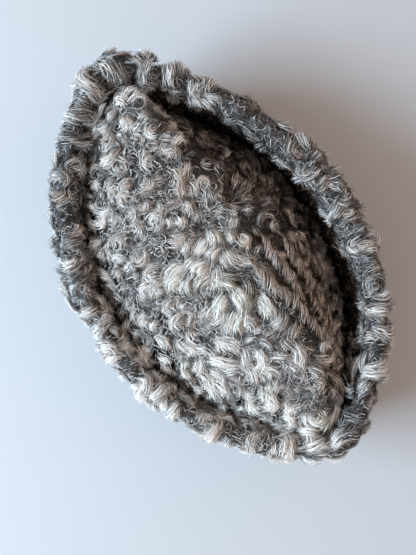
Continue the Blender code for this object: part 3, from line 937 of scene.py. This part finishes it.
def plant_crown_lock(ground, piece, mounds, place, normal, draw):
    """One lock of the crown: its kind and flow are its zone's, and its swing and turn its mound's."""
    _, _, _, flow, length, turn, tone, hue, kind = crown_zone(place, draw)
    mound = mounds.nearest(place)
    swing = mounds.swings[mound] + 14.0 * smooth_noise(place, 0.012, 3) + draw.normal(0.0, 9.0)
    tone = crown_tone(place, tone, draw)
    # On a steep side the locks stand further out, and most of all at the -X tip
    flank = 2.6 if place.y < 0.0 else 0.5
    if place.x < -0.092 and place.y < 0.004:
        flank = 5.0
    lift = MM * (1.4 * smooth_noise(place, 0.014, 8) + flank * (1.0 - normal.z))
    turn = turn * mounds.turns[mound] * draw.uniform(0.85, 1.15)
    length = length * MM * draw.uniform(1.2, 1.7)
    if kind in ("curl", "fuzz"):
        length, turn = 1.6 * length, 1.25 * turn

    if place.y < -0.015 and normal.z < 0.72 and place.x > -0.090:
        # The steep side: short frizzy locks that fan outwards
        out = outward_at(place)
        way = heading(math.degrees(math.atan2(out.y, out.x)) + 1.6 * swing)
        path = Path(ground, place, way, STEEP_LOCK, draw.normal(0.0, 60.0))
        # The lowest of them, down by the trough, are darker: painted shade
        low = normal.z < 0.45
        piece.lock(path, "fuzz", tone - (0.34 if low else 0.06), hue, lift=lift,
                   flare=0.0 if low else 0.0010)
    elif kind == "rope":
        # Low ringlets between the twisted ribs, made dark with painted shade
        path = Path(ground, place, heading(flow + 60.0 + swing), BETWEEN_RIBS_LOCK, 80.0)
        piece.lock(path, "ringlet", tone - 0.34, hue, lift=lift - 0.0015, tall=0.8)
    elif kind == "curl" and place.y > CURLY_FROM:
        # Ringlets that stand apart, curled to either side
        turn = draw.choice((-1.0, 1.0)) * draw.uniform(170.0, 280.0)
        length = RINGLET_LOCK * draw.uniform(0.8, 1.2)
        path = Path(ground, place, heading(flow + 3.0 * swing), length, turn)
        piece.lock(path, "ringlet", tone + (0.28 if place.x > -0.02 else 0.10), hue, lift=lift + 0.0012)
    else:
        path = Path(ground, place, heading(flow + swing), length, turn, sway=draw.uniform(-0.6, 0.6))
        piece.lock(path, kind, tone, hue, lift=lift, flare=0.003 * max(0.0, 0.85 - normal.z))


def plant_crown(ground):
    """The crown's fleece, in three pieces: its two sides and the ridge between them."""
    mounds = Mounds("crown_mounds", ground, CROWN_MOUNDS, lambda place, normal: True)
    pieces = {part: Fleece("crown_fleece_" + part, mounds, *CROWN_CREASES) for part in CROWN_UNDERCOATS}
    draw = np.random.default_rng(SEEDS["crown_locks"])
    for part, piece in pieces.items():
        piece.undercoat(ground, lambda place, normal: crown_part(place) == part,
                        *CROWN_UNDERCOATS[part])
    for place, normal in ground.scatter(CROWN_SPACING, draw,
                                        lambda place, normal: place.z > CROWN_FROM):
        plant_crown_lock(ground, pieces[crown_part(place)], mounds, place, normal, draw)
    for x, y, flow, length, turn, wide, tone in RIBS:
        path = Path(ground, ground.below(x, y), heading(flow), length * MM, turn, nodes=14)
        pieces["right"].rope(path, tone + 0.04, "brown", draw.uniform(0.7, 1.1), wide, 0.0018)
    for x, y, flow, length, turn, wide, tone, hue in SHOWN_LOCKS:
        place = ground.below(x, y)
        path = Path(ground, place, heading(flow), length * MM, turn, nodes=10)
        pieces[crown_part(place)].lock(path, "flame", tone - 0.08, hue, wide=1.2 * wide, lift=0.0016)
    return pieces


class Lumps:
    """The rounded tufts that follow each other round the roll."""

    def __init__(self):
        draw = np.random.default_rng(SEEDS["lumps"])
        angles = np.linspace(0.0, math.tau, 1441)
        reach = np.abs(np.sin(angles)) ** (2.0 * FULLNESS) * np.sign(np.sin(angles))
        x = (HALF_LENGTH - ROLL_IN) * np.cos(angles)
        y = (HALF_WIDTH - ROLL_IN) * reach
        way = np.concatenate([[0.0], np.cumsum(np.hypot(np.diff(x), np.diff(y)))])
        self.x, self.y, self.way, self.round = x, y, way, way[-1]
        widths = draw.uniform(*LUMP_WIDTHS, 80)
        ends = np.cumsum(widths)
        count = int(np.searchsorted(ends, self.round)) + 1
        self.ends = ends[:count] * self.round / ends[count - 1]
        self.starts = np.concatenate([[0.0], self.ends[:-1]])
        self.slants = draw.uniform(-55.0, 55.0, count)
        self.turns = draw.uniform(45.0, 130.0, count) * draw.choice((-1.0, 1.0), count)
        self.tones = draw.normal(0.0, 0.06, count)
        self.lifts = draw.uniform(-0.6, 0.9, count) * MM
        self.leans = draw.uniform(-0.35, 0.35, count)

    def at(self, place, across):
        """Share across the tuft (-1 to 1), and the tuft's slant, turn, tone and lift."""
        nearest = int(np.argmin((self.x - place.x) ** 2 + (self.y - place.y) ** 2))
        way = self.way[nearest]
        lean = self.leans[int(way / self.round * (len(self.leans) - 1))]
        way = (way + LUMPS_LEAN * across * lean) % self.round
        number = min(int(np.searchsorted(self.ends, way)), len(self.ends) - 1)
        share = 2.0 * (way - self.starts[number]) / (self.ends[number] - self.starts[number]) - 1.0
        return share, self.slants[number], self.turns[number], self.tones[number], self.lifts[number]


def roll_share(place):
    """How far over the roll a place is: -1 at the trough, 0 on the crest, 1 at the outer wall."""
    outward = outward_at(place)
    u = min(abs(place.x) / HALF_LENGTH, 0.999)
    edge = HALF_WIDTH * (1.0 - u * u) ** FULLNESS
    crest = (abs(place.y) - edge) * abs(outward.y)
    middle = ROLL_IN if place.y > 0.0 else ROLL_IN_LEFT
    return clamp((crest + middle) / middle, -1.0)


def roll_stands_out(place, across):
    """How much higher or lower than the skin a lock of the roll stands, in mm, by its share over it."""
    far = 6.4 if place.x < -0.02 and place.y < 0.03 else 1.6
    near = -2.4 if place.x > 0.0 else -0.8 if place.y < 0.0 else 0.4
    if place.x < -0.098 and place.y < 0.004:
        near = -7.0
    if place.x > 0.088 and place.y > 0.0:
        near = -5.5
    return across * (far if across > 0.0 else near)


def in_seam(place):
    """Whether a place is in the parting where the cuff's two ends meet."""
    way = Vector((SEAM_TO[0] - SEAM_FROM[0], SEAM_TO[1] - SEAM_FROM[1]))
    off = Vector((place.x / MM - SEAM_FROM[0], place.y / MM - SEAM_FROM[1]))
    share = clamp(off.dot(way) / way.length_squared)
    return (off - way * share).length < SEAM_HALF_WIDTH


def cuff_part(place, normal):
    """The piece of the cuff's fleece that a place belongs to."""
    if place.z > ROLL_FROM:
        return "roll_left" if place.y < 0.0 else "roll_right"
    return "wall" if normal.dot(outward_at(place)) > 0.0 else "trough"


def plant_roll_lock(ground, piece, mounds, lumps, place, normal, draw):
    """One lock of the roll: it wraps over the roll, swings with its tuft and sprays from a parting."""
    outward = outward_at(place)
    around = UP.cross(outward)
    over = around.cross(normal)
    across = roll_share(place)
    share, slant, bend, tone, lift = lumps.at(place, across)
    relief = 1.0 - abs(share) ** 2.5
    swing = math.radians(0.7 * slant + 34.0 * share + 14.0 * smooth_noise(place, 0.012, 4)
                         + draw.normal(0.0, 8.0))
    inward = -1.0 if across < -0.25 + 0.5 * smooth_noise(place, 0.02, 31) else 1.0
    way = over * math.cos(swing) * inward + around * math.sin(swing)
    spray = place - (Vector(mounds.middles[mounds.nearest(place)]) - outward * PARTING_IN)
    spray -= normal * spray.dot(normal)
    way = (way + SPRAY * spray.normalized()).normalized()

    # Paler towards +X on the left half, and towards both ends of the right half
    paler = 0.11 + 0.48 * clamp(place.x / 0.05 + 0.8)
    if place.y > 0.0:
        paler = 0.03 + 0.12 * clamp(abs(place.x + 0.01) / 0.03 - 0.8)
    tone = tone - 0.04 + paler + 0.16 * smooth_noise(place, 0.010, 6) + draw.normal(0.0, 0.06)
    hue = "ash" if draw.random() < 0.93 else "brown"
    turn = 45.0 * share * inward + bend + 50.0 * smooth_noise(place, 0.014, 33) + draw.normal(0.0, 22.0)
    length, kind = ROLL_LOCK, "roll" if draw.random() < 0.85 else "curl"
    if place.x < -0.04:
        turn += math.copysign(50.0, bend)
    for x, y, reach, flow, paleness in WRAPPED_ENDS:
        if math.hypot(place.x / MM - x, place.y / MM - y) < reach:
            way, turn, length, kind = heading(flow + draw.normal(0.0, 8.0)), 25.0, WRAPPED_LOCK, "flame"
            tone, lift = tone + paleness, lift - 0.001
    path = Path(ground, place, way, length * draw.uniform(0.8, 1.2), turn)
    # Painted shade at the low edges of each tuft, weaker on the -Y half between x = -30 and 90 mm
    shaded = 0.08 if place.y < 0.0 and -0.03 < place.x < 0.09 else 0.30
    piece.lock(path, kind, tone - 0.04 - shaded * (1.0 - relief), hue,
               lift=lift + (3.8 * relief - 2.2 + roll_stands_out(place, across)) * MM,
               tall=0.65 + 0.45 * relief)


def way_down(place, normal, swing):
    """The way down the wall at a place, swung aside by an angle in degrees."""
    around = UP.cross(outward_at(place))
    down = normal.cross(around)
    return down * math.cos(math.radians(swing)) + around * math.sin(math.radians(swing))


def plant_wall_lock(ground, piece, place, normal, draw):
    """One lock of the cuff's outer wall."""
    way = way_down(place, normal, 70.0 * smooth_noise(place, 0.022, 12) + draw.normal(0.0, 20.0))
    tone = 0.16 * smooth_noise(place, 0.010, 14) + draw.normal(0.0, 0.06) - 0.22
    path = Path(ground, place, way, WALL_LOCK * draw.uniform(0.8, 1.3),
                140.0 * smooth_noise(place, 0.014, 15) + draw.normal(0.0, 30.0))
    piece.lock(path, "wall", tone, "ash", lift=MM * smooth_noise(place, 0.011, 16))


def plant_trough_lock(ground, piece, place, normal, draw):
    """One lock of the trough: thin, and dark with painted shade, but thick and high where the trough
    ends at a tip.
    """
    way = way_down(place, normal, 60.0 * smooth_noise(place, 0.020, 22) + draw.normal(0.0, 20.0))
    path = Path(ground, place, way, TROUGH_LOCK, draw.normal(0.0, 60.0))
    by_tip = (place.x < -0.092 and place.y < 0.006) or (place.x > 0.092 and place.y > 0.0)
    if by_tip and place.z > 0.04:
        piece.lock(path, "wall", draw.normal(-0.06, 0.08), "ash", lift=0.004)
    else:
        piece.lock(path, "deep", draw.normal(-0.32, 0.08), "brown")


def plant_cuff(ground):
    """The cuff's fleece: the roll in two halves, the outer wall and the wall of the trough."""
    def on_roll(place, normal):
        """Whether a place is on the roll."""
        return place.z > ROLL_FROM

    def on_wall(place, normal):
        """Whether a place is on the outer wall."""
        return cuff_part(place, normal) == "wall"

    def in_trough(place, normal):
        """Whether a place is on the wall of the trough, and not at its foot."""
        return place.z > TROUGH_FROM and cuff_part(place, normal) == "trough"

    mounds = Mounds("roll_mounds", ground, ROLL_MOUNDS, on_roll)
    pieces = {part: Fleece("cuff_fleece_" + part, mounds if "roll" in part else None, *ROLL_CREASES)
              for part in CUFF_UNDERCOATS}
    lumps = Lumps()
    draw = np.random.default_rng(SEEDS["cuff_locks"])
    for part, piece in pieces.items():
        piece.undercoat(ground, lambda place, normal: cuff_part(place, normal) == part,
                        *CUFF_UNDERCOATS[part])
    for place, normal in ground.scatter(ROLL_SPACING, draw, on_roll):
        if not in_seam(place):
            piece = pieces[cuff_part(place, normal)]
            plant_roll_lock(ground, piece, mounds, lumps, place, normal, draw)
    for place, normal in ground.scatter(WALL_SPACING, draw, on_wall):
        plant_wall_lock(ground, pieces["wall"], place, normal, draw)
    for place, normal in ground.scatter(TROUGH_SPACING, draw, in_trough):
        plant_trough_lock(ground, pieces["trough"], place, normal, draw)
    return pieces


# Stage, camera and lights

def picture_axes():
    """The picture's right and up, as directions over the table."""
    right = Vector((math.cos(CAP_TURN), math.sin(CAP_TURN), 0.0))
    up = Vector((-math.sin(CAP_TURN), math.cos(CAP_TURN), 0.0))
    return right, up


def add_table():
    """The plain table that the cap stands on."""
    mesh = bmesh.new()
    bmesh.ops.create_grid(mesh, x_segments=1, y_segments=1, size=2.0)
    table = placed("table", named_mesh(mesh, "table"))
    material, _, shader = principled("pale table")
    feed(shader, {"Base Color": TABLE_COLOUR, "Roughness": 0.75})
    table.data.materials.append(material)


def add_camera():
    """The camera looks straight down on the cap from the photograph's place."""
    right, up = picture_axes()
    data = bpy.data.cameras.new("camera")
    data.sensor_width = SENSOR * 1000
    data.lens = SENSOR * 1000 * CAMERA_DISTANCE / (PHOTO_HEIGHT * METRES_PER_PX)
    data.clip_start = 0.01
    data.clip_end = 20.0
    camera = placed("camera", data)
    across = (PHOTO_WIDTH / 2 - CAP_MIDDLE_PX[0]) * METRES_PER_PX
    upward = (CAP_MIDDLE_PX[1] - PHOTO_HEIGHT / 2) * METRES_PER_PX
    place = right * across + up * upward + UP * (ROLL_HEIGHT + CAMERA_DISTANCE)
    turn = Matrix((right, up, UP)).transposed().to_4x4()
    camera.matrix_world = Matrix.Translation(place) @ turn
    bpy.context.scene.camera = camera


def add_lamp(name, toward, distance, size, power, colour):
    """A soft square lamp that shines on the cap from a direction given in the picture's axes."""
    right, up = picture_axes()
    direction = (right * toward[0] + up * toward[1] + UP * toward[2]).normalized()
    data = bpy.data.lights.new(name, "AREA")
    data.shape = "SQUARE"
    data.size = size
    data.energy = power
    data.color = colour
    lamp = placed(name, data)
    turn = direction.to_track_quat("Z", "Y").to_matrix().to_4x4()
    lamp.matrix_world = Matrix.Translation(direction * distance + UP * LAMPS_AIM) @ turn


def add_room():
    """The dim even light that comes from the room all round."""
    world = bpy.data.worlds.new("room")
    world.use_nodes = True
    feed(world.node_tree.nodes["Background"], {"Color": ROOM_COLOUR, "Strength": ROOM_BRIGHTNESS})
    bpy.context.scene.world = world


def main():
    """The stage, then the two skins, then the fleece that grows on them."""
    bpy.context.scene.view_settings.view_transform = "Standard"
    add_camera()
    add_room()
    add_table()
    for lamp in LAMPS:
        add_lamp(*lamp)

    # The skin under the fleece, nearly black: partly the roots' own dark colour, partly painted shade
    # down in the partings
    roots_and_shade = grained_finish("felted roots and painted shade", (0.012, 0.011, 0.010), (0.13, 0.12, 0.11),
                           cloud_scale=180.0, grain_scale=900.0, depth=0.0012, roughness=0.95)
    flesh = grained_finish("suede", (0.26, 0.22, 0.185), (0.42, 0.37, 0.32),
                           cloud_scale=45.0, grain_scale=1400.0, depth=0.0004, roughness=0.9)
    crown_wool = wool_finish("crown wool", root_shade=0.05, brightness=1.0)
    roll_wool = wool_finish("roll wool", root_shade=0.07, brightness=1.0)
    wall_wool = wool_finish("wall wool", root_shade=0.26, brightness=0.85)

    grounds = {}
    for node in ("cuff", "crown"):
        skin = make_skin(node, node + "_skin", roots_and_shade, flesh)
        grounds[node] = fleece_side(skin)
        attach(skin, "root")
        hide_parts(node)

    tree = fibre_tree()
    for fleece in plant_crown(grounds["crown"]).values():
        piece = fleece.grow(tree, crown_wool, FIBRE_WIDTH, SEEDS["crown_widths"])
        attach(piece, "root")
    for part, fleece in plant_cuff(grounds["cuff"]).items():
        finish = wall_wool if part == "wall" else roll_wool
        width = FIBRE_WIDTH if "roll" in part else WALL_FIBRE_WIDTH
        piece = fleece.grow(tree, finish, width, SEEDS["cuff_widths"])
        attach(piece, "root")


main()
